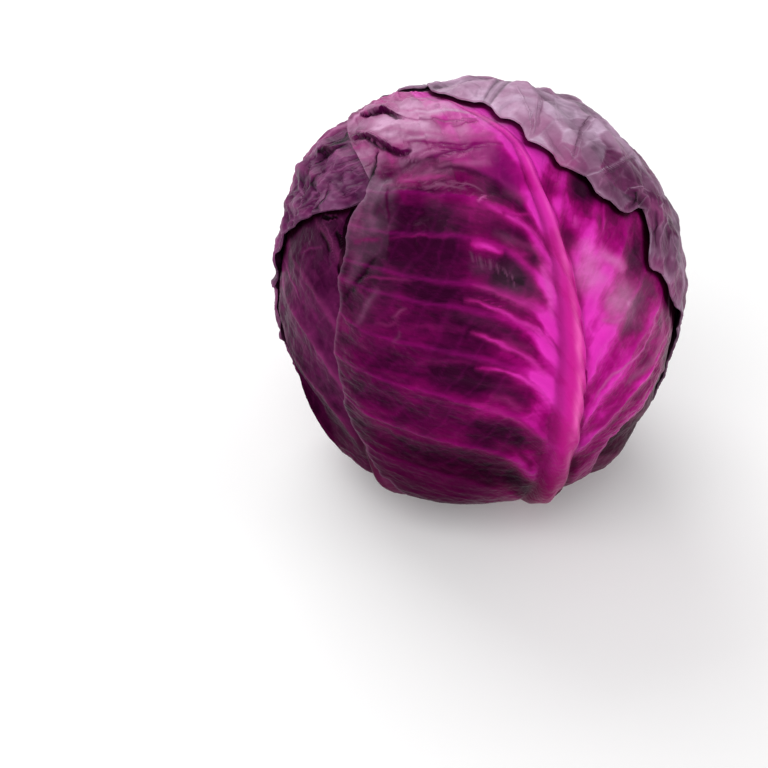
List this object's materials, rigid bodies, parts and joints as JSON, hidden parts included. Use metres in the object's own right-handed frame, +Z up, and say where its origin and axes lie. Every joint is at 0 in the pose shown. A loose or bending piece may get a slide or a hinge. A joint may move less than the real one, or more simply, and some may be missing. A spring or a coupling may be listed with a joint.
{
  "type": "red cabbage",
  "caption": "Whole head of red cabbage: ribbed, veined wrapper leaves closed round a tight inner head, standing on its short cut stem.",
  "frame": {"origin": "middle of the cut face of the stem, which is the lowest point and the face the head rests on", "axes": "+Z up along the stem to the top of the head; -Y is the side the picture looks at, and the front leaf's midrib climbs 26 degrees from -Y towards +X"},
  "size_m": [0.166, 0.1666, 0.1636],
  "materials": {
    "stem": "pale fresh-cut stump",
    "inner_head": "waxy satin",
    "leaf_back": "waxy satin",
    "leaf_left": "waxy satin",
    "leaf_right": "waxy satin",
    "leaf_upper_left": "waxy satin with a grey bloom",
    "leaf_front": "waxy satin",
    "leaf_cap": "waxy satin with a grey bloom"
  },
  "bodies": {
    "root": {"stem": "stem", "inner_head": "inner_head", "leaf_back": "leaf_back", "leaf_left": "leaf_left", "leaf_right": "leaf_right", "leaf_upper_left": "leaf_upper_left", "leaf_front": "leaf_front", "leaf_cap": "leaf_cap"}
  },
  "joints": []
}
